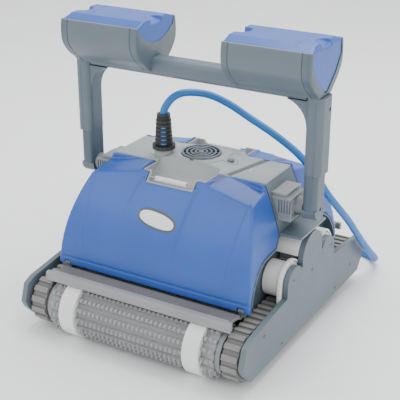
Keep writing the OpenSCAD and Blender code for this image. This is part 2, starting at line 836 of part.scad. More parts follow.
module front_cover() {
  color([0.28, 0.44, 0.72]) half_cover();
}

module rear_cover() {
  color([0.28, 0.44, 0.72]) mirror([0, 1, 0]) half_cover();
}

// ---------- cable route ----------
coil_c = [-190, 440];
coil_r = 134;
rope_r = cable_d / 2;
route = [
  [gland_x, gland_y, boot_z + boot_h - 30],
  [gland_x, gland_y, boot_z + boot_h - 12],
  [gland_x, gland_y, boot_z + boot_h - 5],
  [-59, -18, 369],
  [-50, -7, 383],
  [-36, 11, 388],
  [-8, 36, 382],
  [24, 52, 366],
  [62, 60, 344],
  [110, 62, 321],
  [154, 63, 294],
  [184, 67, 262],
  [204, 76, 228],
  [217, 98, 196],
  [224, 130, 162],
  [227, 166, 124],
  [229, 204, 86],
  [230, 242, 52],
  [229, 272, 28],
  [219, 299, 12],
  [198, 317, 7],
  [166, 325, 7],
  [120, 325, 7],
  [40, 315, 7],
  [-40, 300, 7],
  [-110, 290, 7],
  [-155, 287, 7],
  [-186, 286.5, 7],
  [-200, 286.5, 7]];
steps = 4;

function spline(a, b, c, d, t) = 0.5 * (2 * b + (c - a) * t + (2 * a - 5 * b + 4 * c - d) * t * t
    + (3 * b - a - 3 * c + d) * t * t * t);

line = concat([for (i = [1:len(route) - 3], k = [0:steps - 1])
    spline(route[i - 1], route[i], route[i + 1], route[i + 2], k / steps)], [route[len(route) - 2]]);

function unit(v) = v / norm(v);
function heading(i) = unit(line[min(i + 1, len(line) - 1)] - line[max(i - 1, 0)]);
function carry(n, t) = unit(n - (n * t) * t);

normals = [for (i = 0, n = carry([1, 0, 0], heading(0)); i < len(line);
    i = i + 1, n = i < len(line) ? carry(n, heading(i)) : n) n];

sides = 10;
ring_pts = [for (i = [0:len(line) - 1], k = [0:sides - 1])
    let(n = normals[i], m = cross(heading(i), n), a = k * 360 / sides)
    line[i] + rope_r * (cos(a) * n + sin(a) * m)];
ring_faces = concat(
    [[for (k = [sides - 1:-1:0]) k]],
    [for (i = [0:len(line) - 2], k = [0:sides - 1]) let(a = i * sides, j = (k + 1) % sides)
      [a + k, a + j, a + sides + j, a + sides + k]],
    [[for (k = [0:sides - 1]) (len(line) - 1) * sides + k]]);

module cable() {
  color([0.12, 0.55, 0.82]) polyhedron(ring_pts, ring_faces, convexity = 9);
}

// Stored length of the cable, four turns wide and five high
module cable_coil() {
  color([0.12, 0.55, 0.82]) translate([coil_c[0], coil_c[1], rope_r + 0.2]) rotate_extrude()
    for (i = [0:3])
      for (j = [0:4])
        translate([coil_r + (i - 1.5) * cable_d, j * cable_d]) circle(r = rope_r + 0.2);
}

// Round power connector with a locking ring, lying against the coil
module cable_plug() {
  color([0.1, 0.1, 0.12]) translate([coil_c[0] - 40, coil_c[1] + coil_r + 2 * cable_d + 16, 17])
    rotate([0, 90, 0]) difference() {
      union() {
        cylinder(h = 46, r = 13);
        translate([0, 0, 30]) cylinder(h = 16, r = 16.5);
        translate([0, 0, -16]) cylinder(h = 17, r1 = 8, r2 = 12);
      }
      translate([0, 0, 38]) cylinder(h = 9, r = 12.5);
    }
}

tub();
flap_front();
flap_rear();
side_wall_left();
side_wall_right();
hub_housing_left();
hub_housing_right();
pivot_pins();
motor_unit();
pump_duct();
impeller();
filter_front();
filter_rear();
top_cap();
outlet_grille();
cap_button();
front_cover();
rear_cover();
front_latch();
rear_latch();
bumper_front();
bumper_rear();
side_panel_left();
side_panel_right();
panel_screws();
belt_left();
belt_right();
belt_guides();
belt_guard_left();
belt_guard_right();
roller_pins();
roller_front_left();
roller_front_right();
roller_rear_left();
roller_rear_right();
pulley_left();
pulley_right();
drive_shaft_left();
drive_shaft_right();
brush_front();
brush_rear();
rings_front();
rings_rear();
hubs_front();
hubs_rear();
axle_front();
axle_rear();
leg_left();
leg_right();
crossbar();
float_shell_left();
float_shell_right();
float_left();
float_right();
cable_stub();
strain_relief();
cable();
cable_coil();
cable_plug();
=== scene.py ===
"""Looks of the robotic pool cleaner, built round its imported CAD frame."""

import bpy
import bmesh
import json
import math
from mathutils import Matrix, Vector
from mathutils.bvhtree import BVHTree


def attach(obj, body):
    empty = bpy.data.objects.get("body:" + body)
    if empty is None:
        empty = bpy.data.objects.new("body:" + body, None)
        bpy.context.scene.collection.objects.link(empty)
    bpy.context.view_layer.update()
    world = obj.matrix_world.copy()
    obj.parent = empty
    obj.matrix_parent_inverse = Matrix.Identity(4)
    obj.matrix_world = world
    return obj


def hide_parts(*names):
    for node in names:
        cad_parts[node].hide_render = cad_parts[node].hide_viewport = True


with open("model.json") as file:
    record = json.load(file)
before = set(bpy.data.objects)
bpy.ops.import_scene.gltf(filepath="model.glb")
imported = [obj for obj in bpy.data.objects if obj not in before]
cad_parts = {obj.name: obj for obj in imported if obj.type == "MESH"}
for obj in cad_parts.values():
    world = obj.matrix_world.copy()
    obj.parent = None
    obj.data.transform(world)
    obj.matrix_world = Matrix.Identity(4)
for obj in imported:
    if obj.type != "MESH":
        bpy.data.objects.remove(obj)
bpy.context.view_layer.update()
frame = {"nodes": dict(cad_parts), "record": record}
NODES = frame["nodes"]
BODY_OF = {n: b for b, ns in frame["record"]["behaviour"]["bodies"].items() for n in ns}
SLOT_OF = {s["node"]: s["material_slot"] for s in frame["record"]["subparts"]}
MM = 0.001


# ---------- camera ----------
def make_camera(azimuth, elevation, place, lens):
    a, e = math.radians(azimuth), math.radians(elevation)
    back = Vector((math.sin(a) * math.cos(e), -math.cos(a) * math.cos(e), math.sin(e)))
    cam = bpy.data.objects.new("camera", bpy.data.cameras.new("camera"))
    bpy.context.scene.collection.objects.link(cam)
    cam.rotation_mode = "QUATERNION"
    cam.location = Vector(place)
    cam.rotation_quaternion = (-back).to_track_quat("-Z", "Y")
    cam.data.lens = lens
    cam.data.sensor_width = 36
    cam.data.clip_start, cam.data.clip_end = 0.05, 50
    bpy.context.scene.camera = cam


make_camera(30.2, 23.4, (0.7927, -1.3672, 0.8845), 88.5)


# ---------- materials ----------
def node(nt, kind, **values):
    n = nt.nodes.new(kind)
    for key, value in values.items():
        if hasattr(n, key):
            setattr(n, key, value)
        else:
            n.inputs[key.replace("_", " ")].default_value = value
    return n


def surface(name, color, rough=0.4, grain=900, bump=0.02, cloud=0.06, hollow_shade=0.25, coat=0.0, edge=0.15, speck=0.0,
            sss=0.0):
    """Moulded surface: cloudy colour, fine grain, painted shade darkening the hollows and paler worn edges."""
    m = bpy.data.materials.new(name)
    m.use_nodes = True
    nt = m.node_tree
    out = nt.nodes["Principled BSDF"]
    out.inputs["Coat Weight"].default_value = coat
    out.inputs["Coat Roughness"].default_value = 0.12
    if sss:
        out.inputs["Subsurface Weight"].default_value = sss
        out.inputs["Subsurface Radius"].default_value = (0.01, 0.008, 0.006)
    place = node(nt, "ShaderNodeTexCoord")
    wide = node(nt, "ShaderNodeTexNoise", Scale=14, Detail=4, Roughness=0.55)
    fine = node(nt, "ShaderNodeTexNoise", Scale=grain, Detail=2, Roughness=0.6)
    smear = node(nt, "ShaderNodeTexNoise", Scale=60, Detail=6, Roughness=0.7)
    for t in (wide, fine, smear):
        nt.links.new(place.outputs["Object"], t.inputs["Vector"])
    ramp = node(nt, "ShaderNodeValToRGB")
    dark = [c * (1 - cloud) for c in color]
    pale = [min(1, c * (1 + cloud) + 0.01 * cloud) for c in color]
    ramp.color_ramp.elements[0].color = (*dark, 1)
    ramp.color_ramp.elements[0].position = 0.35
    ramp.color_ramp.elements[1].color = (*pale, 1)
    ramp.color_ramp.elements[1].position = 0.65
    nt.links.new(wide.outputs["Fac"], ramp.inputs["Fac"])
    geo = node(nt, "ShaderNodeNewGeometry")
    worn = node(nt, "ShaderNodeMapRange")
    worn.inputs["From Min"].default_value = 0.52
    worn.inputs["From Max"].default_value = 0.60
    worn.inputs["To Max"].default_value = edge
    nt.links.new(geo.outputs["Pointiness"], worn.inputs["Value"])
    lift = node(nt, "ShaderNodeMix", data_type="RGBA")
    nt.links.new(worn.outputs["Result"], lift.inputs["Factor"])
    nt.links.new(ramp.outputs["Color"], lift.inputs["A"])
    lift.inputs["B"].default_value = (*[c * 0.4 + 0.5 for c in color], 1)
    # painted shade: hollows (low pointiness) are mixed towards a darker copy of the colour, standing in for shade
    hollow = node(nt, "ShaderNodeMapRange")
    hollow.inputs["From Min"].default_value = 0.49
    hollow.inputs["From Max"].default_value = 0.40
    hollow.inputs["To Max"].default_value = hollow_shade
    nt.links.new(geo.outputs["Pointiness"], hollow.inputs["Value"])
    sunk = node(nt, "ShaderNodeMix", data_type="RGBA")
    nt.links.new(hollow.outputs["Result"], sunk.inputs["Factor"])
    nt.links.new(lift.outputs["Result"], sunk.inputs["A"])
    sunk.inputs["B"].default_value = (*[c * 0.35 for c in color], 1)
    last = sunk.outputs["Result"]
    if speck:
        dots = node(nt, "ShaderNodeMapRange")
        dots.inputs["From Min"].default_value = 0.62
        dots.inputs["From Max"].default_value = 0.7
        dots.inputs["To Max"].default_value = speck
        nt.links.new(smear.outputs["Fac"], dots.inputs["Value"])
        dust = node(nt, "ShaderNodeMix", data_type="RGBA")
        nt.links.new(dots.outputs["Result"], dust.inputs["Factor"])
        nt.links.new(last, dust.inputs["A"])
        dust.inputs["B"].default_value = (*[c * 0.5 + 0.35 for c in color], 1)
        last = dust.outputs["Result"]
    nt.links.new(last, out.inputs["Base Color"])
    gloss = node(nt, "ShaderNodeMapRange")
    gloss.inputs["To Min"].default_value = max(0.05, rough - 0.06)
    gloss.inputs["To Max"].default_value = min(1, rough + 0.1)
    nt.links.new(smear.outputs["Fac"], gloss.inputs["Value"])
    nt.links.new(gloss.outputs["Result"], out.inputs["Roughness"])
    relief = node(nt, "ShaderNodeBump", Strength=bump * 5, Distance=0.0004)
    nt.links.new(fine.outputs["Fac"], relief.inputs["Height"])
    nt.links.new(relief.outputs["Normal"], out.inputs["Normal"])
    return m


def metal(name, color, rough):
    """Steel: the moulded surface with finer grain, made metallic."""
    m = surface(name, color, rough, 1500, 0.03, 0.1, 0.3, 0.0, 0.2)
    m.node_tree.nodes["Principled BSDF"].inputs["Metallic"].default_value = 0.9
    return m


MATS = {
    "blue_shell": surface("blue_shell", (0.02, 0.09, 0.40), 0.38, 1400, 0.012, 0.04, 0.3, 0.12, 0.15),
    "grey_cap": surface("grey_cap", (0.33, 0.355, 0.355), 0.42, 1300, 0.02, 0.05, 0.35, 0.1, 0.2),
    "slate_plastic": surface("slate_plastic", (0.078, 0.112, 0.138), 0.45, 1500, 0.03, 0.06, 0.35, 0.05, 0.2),
    "dark_plastic": surface("dark_plastic", (0.05, 0.055, 0.06), 0.5, 1200, 0.03, 0.1, 0.3, 0.0, 0.12),
    "hub_grey": surface("hub_grey", (0.19, 0.215, 0.225), 0.5, 1200, 0.03, 0.08, 0.45, 0.0, 0.25),
    "bumper_grey": surface("bumper_grey", (0.23, 0.226, 0.232), 0.55, 1200, 0.03, 0.08, 0.4, 0.0, 0.3),
    "belt_rubber": surface("belt_rubber", (0.135, 0.13, 0.125), 0.6, 900, 0.06, 0.12, 0.6, 0.0, 0.35, 0.15),
    "brush_rubber": surface("brush_rubber", (0.125, 0.127, 0.13), 0.62, 900, 0.06, 0.14, 0.7, 0.0, 0.45, 0.12),
    "ring_foam": surface("ring_foam", (0.78, 0.78, 0.765), 0.75, 500, 0.08, 0.05, 0.3, 0.0, 0.1, 0.08),
    "roller_white": surface("roller_white", (0.8, 0.79, 0.76), 0.45, 1200, 0.02, 0.06, 0.35, 0.05, 0.15, 0.0, 0.15),
    "filter_white": surface("filter_white", (0.75, 0.77, 0.77), 0.8, 1600, 0.1, 0.08, 0.5),
    "steel": metal("steel", (0.52, 0.53, 0.54), 0.28),
    "cable_blue": surface("cable_blue", (0.001, 0.14, 0.45), 0.42, 700, 0.03, 0.06, 0.2, 0.05, 0.1),
    "boot_black": surface("boot_black", (0.0015, 0.0015, 0.002), 0.5, 800, 0.05, 0.1, 0.3, 0.0, 0.08),
}
# painted shade: a darker grey for the bumpers' slope, standing in for the hood's shadow on it
SLOPE_PAINTED_SHADE = surface("shadow_grey", (0.13, 0.125, 0.13), 0.6, 1000, 0.05, 0.1, 0.3)
# dark seams and joints; also used as painted shade for the hub recesses and the float hole
SEAM_AND_RECESS_SHADE = surface("seam_dark", (0.045, 0.06, 0.075), 0.6, 1000, 0.02, 0.05, 0.2)
BADGE = surface("badge_pale", (0.80, 0.81, 0.80), 0.35, 1400, 0.01, 0.03, 0.2, 0.2)
STRIPE_GREY = surface("stripe_grey", (0.085, 0.1, 0.11), 0.5, 1300, 0.02, 0.05, 0.3)
STRIPE_BLUE = surface("stripe_blue", (0.008, 0.04, 0.22), 0.4, 1400, 0.012, 0.05, 0.3, 0.1)
BADGE_RIM = surface("badge_rim", (0.06, 0.075, 0.09), 0.4, 1400, 0.02, 0.05, 0.2)
SCREW = metal("screw_dark", (0.12, 0.125, 0.13), 0.5)
for name, o in NODES.items():
    o.data.materials.clear()
    o.data.materials.append(SCREW if name == "panel_screws" else MATS[SLOT_OF[name]])


# ---------- mesh helpers ----------
BODIES = {b: set(ns) for b, ns in frame["record"]["behaviour"]["bodies"].items()}


def put(name, mesh, body, slot_name, mat=None):
    BODIES[body].add(name)
    o = bpy.data.objects.new(name, mesh)
    bpy.context.scene.collection.objects.link(o)
    mesh.materials.clear()
    mesh.materials.append(mat or MATS[slot_name])
    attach(o, body)
    return o


def smooth(mesh, angle=35):
    mesh.polygons.foreach_set("use_smooth", [True] * len(mesh.polygons))
    mesh.set_sharp_from_angle(angle=math.radians(angle))


def bake_modifiers(o):
    deps = bpy.context.evaluated_depsgraph_get()
    new = bpy.data.meshes.new_from_object(o.evaluated_get(deps))
    o.modifiers.clear()
    o.data = new


def bevel(o, width, segments=2, angle=30):
    b = o.modifiers.new("edges", "BEVEL")
    b.width = width * MM
    b.segments = segments
    b.limit_method = "ANGLE"
    b.angle_limit = math.radians(angle)
    b.use_clamp_overlap = True
    b.miter_outer = "MITER_ARC"
    w = o.modifiers.new("normals", "WEIGHTED_NORMAL")
    w.keep_sharp = True
    bake_modifiers(o)


def finer(name, width, segments=2, angle=30):
    """A copy of a CAD node with its edges rounded, shown in the node's place."""
    bm = bmesh.new()
    bm.from_mesh(NODES[name].data)
    bmesh.ops.remove_doubles(bm, verts=bm.verts, dist=2e-5)
    bmesh.ops.dissolve_limit(bm, angle_limit=math.radians(0.6), verts=bm.verts, edges=bm.edges)
    mesh = bpy.data.meshes.new(name + "_fine")
    bm.to_mesh(mesh)
    bm.free()
    o = put(name + "_fine", mesh, BODY_OF[name], SLOT_OF[name])
    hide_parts(name)
    mesh.polygons.foreach_set("use_smooth", [True] * len(mesh.polygons))
    bevel(o, width, segments, angle)
    return o


def soft(name, voxel, rounds, shape=None):
    """A copy of a CAD node remeshed finely and smoothed, so its edges are softly rounded."""
    o = put(name + "_soft", NODES[name].data.copy(), BODY_OF[name], SLOT_OF[name])
    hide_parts(name)
    r = o.modifiers.new("fine", "REMESH")
    r.mode, r.voxel_size = "VOXEL", voxel * MM
    k = o.modifiers.new("round", "SMOOTH")
    k.factor, k.iterations = 0.5, rounds
    bake_modifiers(o)
    if shape:
        moved = [v.co + Vector(shape(v.co / MM, v.normal)) * MM for v in o.data.vertices]
        for v, co in zip(o.data.vertices, moved):
            v.co = co
    smooth(o.data, 50)
    return o


TREES = {}


def on_surface(target, start, aim):
    """Where a ray meets a piece, and the normal there."""
    if target.name not in TREES:
        TREES[target.name] = BVHTree.FromPolygons([v.co for v in target.data.vertices],
                                                  [tuple(p.vertices) for p in target.data.polygons])
    place, normal, _, _ = TREES[target.name].ray_cast(Vector(start) * MM, Vector(aim))
    return place and (place / MM, normal)


def ribbon(name, target, points, width, aim, mat, slot_name, proud=0.3, cols=2, step=2.5, deep=0.9):
    """A thin strip laid along a line on a piece's surface."""
    aim = Vector(aim).normalized()
    pts = [Vector(p) for p in points]
    path = []
    for p, q in zip(pts, pts[1:]):
        n = max(1, round((q - p).length / step))
        path += [p + (q - p) * i / n for i in range(n)]
    path.append(pts[-1])
    rows = []
    for i, p in enumerate(path):
        before = path[i - 1] if i else p
        after = path[i + 1] if i < len(path) - 1 else p
        side = (after - before).cross(aim).normalized()
        row = []
        for j in range(cols + 1):
            hit = on_surface(target, p + side * (j / cols - 0.5) * width - aim * 60, aim)
            row.append(hit and hit[0] + hit[1] * proud)
        rows.append(row)
    rows = [r for r in rows if all(r)]
    if len(rows) < 2:
        return None
    verts = [v for r in rows for v in r]
    low = [v + aim * deep for v in verts]
    n, w = len(rows), cols + 1
    faces = []
    for i in range(n - 1):
        for j in range(cols):
            a, b, c, d = i * w + j, i * w + j + 1, (i + 1) * w + j + 1, (i + 1) * w + j
            faces += [(a, b, c, d), (d + n * w, c + n * w, b + n * w, a + n * w)]
        for j, turn in ((0, 1), (cols, -1)):
            q = (i * w + j, (i + 1) * w + j, (i + 1) * w + j + n * w, i * w + j + n * w)
            faces.append(q[::turn])
    for i, turn in ((0, -1), (n - 1, 1)):
        for j in range(cols):
            q = (i * w + j, i * w + j + 1, i * w + j + 1 + n * w, i * w + j + n * w)
            faces.append(q[::turn])
    body = next(b for b in BODIES if target.name in BODIES[b])
    return from_lists(name, verts + low, faces, body, slot_name, mat, 50)


def patch(name, target, centre, rx, ry, aim, up, mat, slot_name, proud=0.6, tilt=0, power=2, deep=1.5):
    """A rounded plate laid on a surface: a superellipse of half sizes rx and ry."""
    aim, up = Vector(aim).normalized(), Vector(up).normalized()
    across = up.cross(aim).normalized()
    turn = Matrix.Rotation(math.radians(tilt), 3, aim)
    rings, n = (0.0001, 0.4, 0.75, 0.94, 1.0), 40
    top = []
    for k, f in enumerate(rings):
        lift = proud * (1 if f < 0.9 else 0.85 if f < 0.99 else 0.25)
        for i in range(n):
            a = 2 * math.pi * i / n
            c, s = math.cos(a), math.sin(a)
            e = 2 / power
            flat = across * rx * f * math.copysign(abs(c) ** e, c) + up * ry * f * math.copysign(abs(s) ** e, s)
            hit = on_surface(target, Vector(centre) + turn @ flat - aim * 60, aim)
            if not hit:
                return None
            top.append(hit[0] - aim * lift)
    base = [v + aim * deep for v in top[-n:]]
    verts, faces = loft([top[i * n:(i + 1) * n] for i in range(len(rings))] + [base])
    body = next(b for b in BODIES if target.name in BODIES[b])
    return from_lists(name, verts, faces, body, slot_name, mat, 50)


def from_lists(name, verts, faces, body, slot_name, mat=None, angle=35):
    mesh = bpy.data.meshes.new(name)
    mesh.from_pydata([Vector(v) * MM for v in verts], [], faces)
    mesh.validate()
    bm = bmesh.new()
    bm.from_mesh(mesh)
    bmesh.ops.recalc_face_normals(bm, faces=bm.faces)
    bm.to_mesh(mesh)
    bm.free()
    smooth(mesh, angle)
    return put(name, mesh, body, slot_name, mat)


def loft(sections, closed_ends=True):
    """Skins equal-length closed loops of points."""
    n = len(sections[0])
    verts = [p for s in sections for p in s]
    faces = [(i * n + k, i * n + (k + 1) % n, (i + 1) * n + (k + 1) % n, (i + 1) * n + k)
             for i in range(len(sections) - 1) for k in range(n)]
    if closed_ends:
        faces.append(tuple(range(n - 1, -1, -1)))
        faces.append(tuple((len(sections) - 1) * n + k for k in range(n)))
    return verts, faces


def spline(points, per, closed=False):
    """Catmull-Rom points through the given ones."""
    out, n = [], len(points)
    spans = n if closed else n - 1
    for i in range(spans):
        pick = (lambda j: points[j % n]) if closed else (lambda j: points[min(max(j, 0), n - 1)])
        a, b, c, d = (Vector(pick(i + k)) for k in (-1, 0, 1, 2))
        for k in range(per):
            t = k / per
            out.append(0.5 * (2 * b + (c - a) * t + (2 * a - 5 * b + 4 * c - d) * t * t
                              + (3 * b - a - 3 * c + d) * t ** 3))
    if not closed:
        out.append(Vector(points[-1]))
    return out


def mirrored(points):
    return [(-p[0], p[1], p[2]) for p in points]


# ---------- cable ----------
R_CABLE = 6.5
route = [(-62, -22, 332), (-62, -22, 350), (-62, -22, 357),
         (-59, -18, 369), (-50, -7, 383), (-36, 11, 388), (-8, 36, 382), (24, 52, 366), (62, 60, 344),
         (110, 62, 321), (154, 63, 294), (184, 67, 262), (204, 76, 228), (217, 98, 196), (224, 130, 162),
         (227, 166, 124), (229, 204, 86), (230, 242, 52), (229, 272, 28), (219, 299, 12), (198, 317, 7),
         (166, 325, 7), (120, 325, 7), (40, 315, 7), (-40, 300, 7), (-110, 290, 7), (-155, 287, 7),
         (-186, 286.5, 7)]
COIL = (-190, 440)
COIL_R = 134
PITCH = 13
COIL_LOW = R_CABLE + 0.3
LAYERS = 5
TURN_POINTS = 24
line = spline(route, 4)
ORDER = [3, 2, 1, 0]
for layer in range(LAYERS):
    columns = ORDER if layer % 2 == 0 else ORDER[::-1]
    for step, col in enumerate(columns):
        here = COIL_R + (col - 1.5) * PITCH
        last_turn = step == len(columns) - 1
        there = here if last_turn else COIL_R + (columns[step + 1] - 1.5) * PITCH
        z0 = COIL_LOW + layer * PITCH
        z1 = z0 + (PITCH if last_turn and layer < LAYERS - 1 else 0)
        for k in range(TURN_POINTS):
            f = k / TURN_POINTS
            shift = max(0, (f - 0.8) / 0.2)
            a = math.radians(-90 - 360 * f)
            r = here + (there - here) * shift
            line.append(Vector((COIL[0] + r * math.cos(a), COIL[1] + r * math.sin(a), z0 + (z1 - z0) * shift)))
curve = bpy.data.curves.new("floating_cable", "CURVE")
curve.dimensions = "3D"
curve.bevel_depth = R_CABLE * MM
curve.bevel_resolution = 5
curve.use_fill_caps = True
poly = curve.splines.new("POLY")
poly.points.add(len(line) - 1)
for p, q in zip(poly.points, line):
    p.co = (*(q * MM), 1)
poly.use_smooth = True
cable = bpy.data.objects.new("floating_cable", curve)
bpy.context.scene.collection.objects.link(cable)
curve.materials.append(MATS["cable_blue"])
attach(cable, "chassis")
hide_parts("cable", "cable_coil")


# ---------- rounded CAD pieces ----------
plug = finer("cable_plug", 1.2)
def ease(a, b, v):
    t = min(1, max(0, (v - a) / (b - a)))
    return t * t * (3 - 2 * t)


def hood_relief(co, normal):
    """Shallow creases below the grip, a line above the bottom lip and a seam near each side."""
    out = abs(co.y) - 100
    if normal.y * co.y <= 0 or out < 0:
        return (0, 0, 0)
    left, right = -86 + (co.z - 150) * 0.3, 30 + (co.z - 150) * 0.14
    crease = ease(left - 9, left + 1, co.x) * ease(-right - 9, -right + 1, -co.x) * ease(140, 190, co.z)
    lip = math.exp(-((co.z - 121) / 1.7) ** 2)
    seam_x = 133 + (co.z - 118) * 0.11
    seam = math.exp(-((abs(co.x) - seam_x) / 1.6) ** 2)
    return normal * (1.3 * crease - 0.9 * lip - 0.7 * seam)


covers = {name: soft(name, 1.8, 7, hood_relief) for name in ("front_cover", "rear_cover")}
cap = soft("top_cap", 1.3, 4)
FINE = {name: finer(name, width) for name, width in {
    "side_panel_left": 3.0, "side_panel_right": 3.0, "leg_left": 1.4, "leg_right": 1.4, "crossbar": 1.5,
    "bumper_front": 1.2, "bumper_rear": 1.2, "hub_housing_left": 1.6, "hub_housing_right": 1.6,
    "side_wall_left": 0.8, "side_wall_right": 0.8, "tub": 1.2, "rings_front": 1.6, "rings_rear": 1.6,
    "roller_front_left": 1.5, "roller_front_right": 1.5, "roller_rear_left": 1.5, "roller_rear_right": 1.5,
    "belt_left": 0.8, "belt_right": 0.8, "hubs_front": 1.0, "hubs_rear": 1.0, "front_latch": 0.8, "rear_latch": 0.8,
    "cap_button": 1.2, "outlet_grille": 0.6, "belt_guard_left": 0.8, "belt_guard_right": 0.8, "cable_stub": 1.0,
}.items()}
for side in ("left", "right"):
    soft("float_" + side, 1.7, 6)
# painted shade: the bumpers' upward-facing slope faces between bar and hood get the darker shadow_grey material
for name in ("bumper_front", "bumper_rear"):
    mesh = FINE[name].data
    mesh.materials.append(SLOPE_PAINTED_SHADE)
    for p in mesh.polygons:
        c = p.center / MM
        if abs(c.y) < 203 - 12 and p.normal.z > 0.6:
            p.material_index = 1


# ---------- float shells ----------
BAR_TOP, RIM_Z, FLOAT_R, PIVOT_Y, FLOAT_X, SHELL_X = 430, 510, 63, -15, 230, 77
SIDE_LINE = [(22, BAR_TOP), (30, BAR_TOP + 8), (43, BAR_TOP + 18), (54, RIM_Z - 50), (61, RIM_Z - 38),
             (FLOAT_R, RIM_Z - 24), (62, RIM_Z - 10), (60, RIM_Z)]
CAVITY = [(-56, RIM_Z), (-57.5, RIM_Z - 12), (-59, RIM_Z - 24), (-53, RIM_Z - 40), (53, RIM_Z - 40),
          (59, RIM_Z - 24), (57.5, RIM_Z - 12), (56, RIM_Z)]
VEE = [(-56, RIM_Z), (-51, RIM_Z - 12), (-34, RIM_Z - 24), (-9, RIM_Z - 33), (9, RIM_Z - 33), (34, RIM_Z - 24),
       (51, RIM_Z - 12), (56, RIM_Z)]
TULIP = [(-54, RIM_Z), (-56, RIM_Z - 22), (-37, RIM_Z - 48), (-6, BAR_TOP + 6), (6, BAR_TOP + 6), (37, RIM_Z - 48),
         (56, RIM_Z - 22), (54, RIM_Z)]


def resample(points, n):
    """n + 1 points evenly along a polyline."""
    gaps = [math.dist(p, q) for p, q in zip(points, points[1:])]
    out, total = [], sum(gaps)
    for k in range(n + 1):
        want, i = total * k / n, 0
        while i < len(gaps) - 1 and want > gaps[i]:
            want -= gaps[i]
            i += 1
        f = min(1, want / gaps[i])
        out.append(tuple(a + (b - a) * f for a, b in zip(points[i], points[i + 1])))
    return out


def shell_section(x, inset, hollow):
    """One outline of a float shell: outer curve, then back along the hollow."""
    outer = [tuple(p)[:2] for p in spline([(y, z, 0) for y, z in SIDE_LINE], 5)]
    mid = RIM_Z - 35
    ring = [(y * (1 - inset / 60), mid + (z - mid) * (1 - inset / 45) if z < mid else z) for y, z in outer]
    around = ring[::-1] + [(-y, z) for y, z in ring]
    inner = resample(hollow, 40)
    return [(x, PIVOT_Y + y, z) for y, z in around + inner]


for side, turn in (("right", 1), ("left", -1)):
    steps = [(SHELL_X, 2.5), (SHELL_X + 1, 0.8), (SHELL_X + 3, 0), (SHELL_X + 12, 0), (SHELL_X + 12.4, 0.7),
             (SHELL_X + 13.4, 0.7), (SHELL_X + 13.8, 0), (FLOAT_X - 16, 0), (FLOAT_X - 15.6, 0.8),
             (FLOAT_X - 14.4, 0.8), (FLOAT_X - 14, 0), (FLOAT_X - 5, 0), (FLOAT_X - 4, 0.2)]
    sections = [shell_section(x, inset, VEE if x < SHELL_X + 9 else CAVITY) for x, inset in steps]
    sections += [shell_section(x, inset, TULIP) for x, inset in
                 ((FLOAT_X - 3.9, 0.2), (FLOAT_X - 1.6, 0.9), (FLOAT_X - 0.4, 2), (FLOAT_X, 3.4))]
    verts, faces = loft(sections)
    name = "float_shell_" + side
    shell = from_lists(name + "_smooth", verts if turn > 0 else mirrored(verts), faces, BODY_OF[name],
                       "slate_plastic", angle=38)
    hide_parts(name)

# ---------- brushes ----------
AXLE_Y, AXLE_Z, CORE_R, RING_X, BRUSH_X = 196, 50, 40, 120, 158
ROWS, TOOTH_STEP = 16, 8.6


def brush_mesh(name, side):
    """Brush roller: a core with long low ribs, each carrying a row of wedge-shaped bristle teeth."""
    verts, faces = [], []

    def place(x, r, a):
        return (x, side * AXLE_Y + r * math.cos(a), AXLE_Z + r * math.sin(a))

    def add(points, cells):
        base = len(verts)
        verts.extend(points)
        faces.extend(tuple(base + i for i in c) for c in cells)

    profile = [(-BRUSH_X, 15), (-BRUSH_X, CORE_R), (-RING_X - 15.3, CORE_R), (-RING_X - 15.3, CORE_R - 3.2),
               (-RING_X + 15.3, CORE_R - 3.2), (-RING_X + 15.3, CORE_R)]
    profile += [(-x, r) for x, r in profile[::-1]]
    n = 64
    rings = [[place(x, r, 2 * math.pi * i / n) for i in range(n)] for x, r in profile + [profile[0]]]
    add(*loft(rings, False))
    box_cells = [(0, 1, 2, 3), (7, 6, 5, 4), (0, 4, 5, 1), (1, 5, 6, 2), (2, 6, 7, 3), (3, 7, 4, 0)]
    for row in range(ROWS):
        a = 2 * math.pi * row / ROWS
        for x0, x1 in ((-RING_X + 16, RING_X - 16), (-BRUSH_X, -RING_X - 16), (RING_X + 16, BRUSH_X)):
            low, high = 3.6 / CORE_R, 2.4 / CORE_R
            foot = [place(x, CORE_R - 1, a - low) for x in (x0, x1)] + [place(x, CORE_R - 1, a + low) for x in (x1, x0)]
            top = [place(x, CORE_R + 4, a - high) for x in (x0, x1)] + [place(x, CORE_R + 4, a + high) for x in (x1, x0)]
            add(foot + top, box_cells)
            count = max(1, int((x1 - x0 - 4) / TOOTH_STEP))
            start = (x0 + x1) / 2 - (count - 1) * TOOTH_STEP / 2 + (TOOTH_STEP / 4 if row % 2 else -TOOTH_STEP / 4)
            for k in range(count):
                x = start + k * TOOTH_STEP
                h, t = 3.0, 3.7 / CORE_R
                foot = [place(x - h, CORE_R + 2, a - t), place(x + h, CORE_R + 2, a - t),
                        place(x + h, CORE_R + 2, a + t), place(x - h, CORE_R + 2, a + t)]
                tip = [place(x - 1.2, AXLE_Z - 1.6, a - t * 0.62), place(x + 1.2, AXLE_Z - 1.6, a - t * 0.62),
                       place(x + 1.2, AXLE_Z - 1.6, a + t * 0.62), place(x - 1.2, AXLE_Z - 1.6, a + t * 0.62)]
                add(foot + tip, box_cells)
    o = from_lists(name + "_bristles", verts, faces, BODY_OF[name], "brush_rubber", angle=30)
    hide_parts(name)


brush_mesh("brush_front", -1)
brush_mesh("brush_rear", 1)

# ---------- seams, stripes and small details ----------
CAP_Z = 280
LEAN = math.tan(math.radians(15))
UP, DOWN, BACKWARD = (0, 0, 1), (0, 0, -1), (0, 1, 0)
STRIPE_X, STRIPE_W = 89, 11.4
LINE_PROUD, HOLE_PROUD = 0.12, 0.15


def stripe_at(y):
    return (STRIPE_X + LEAN * y, y, CAP_Z)


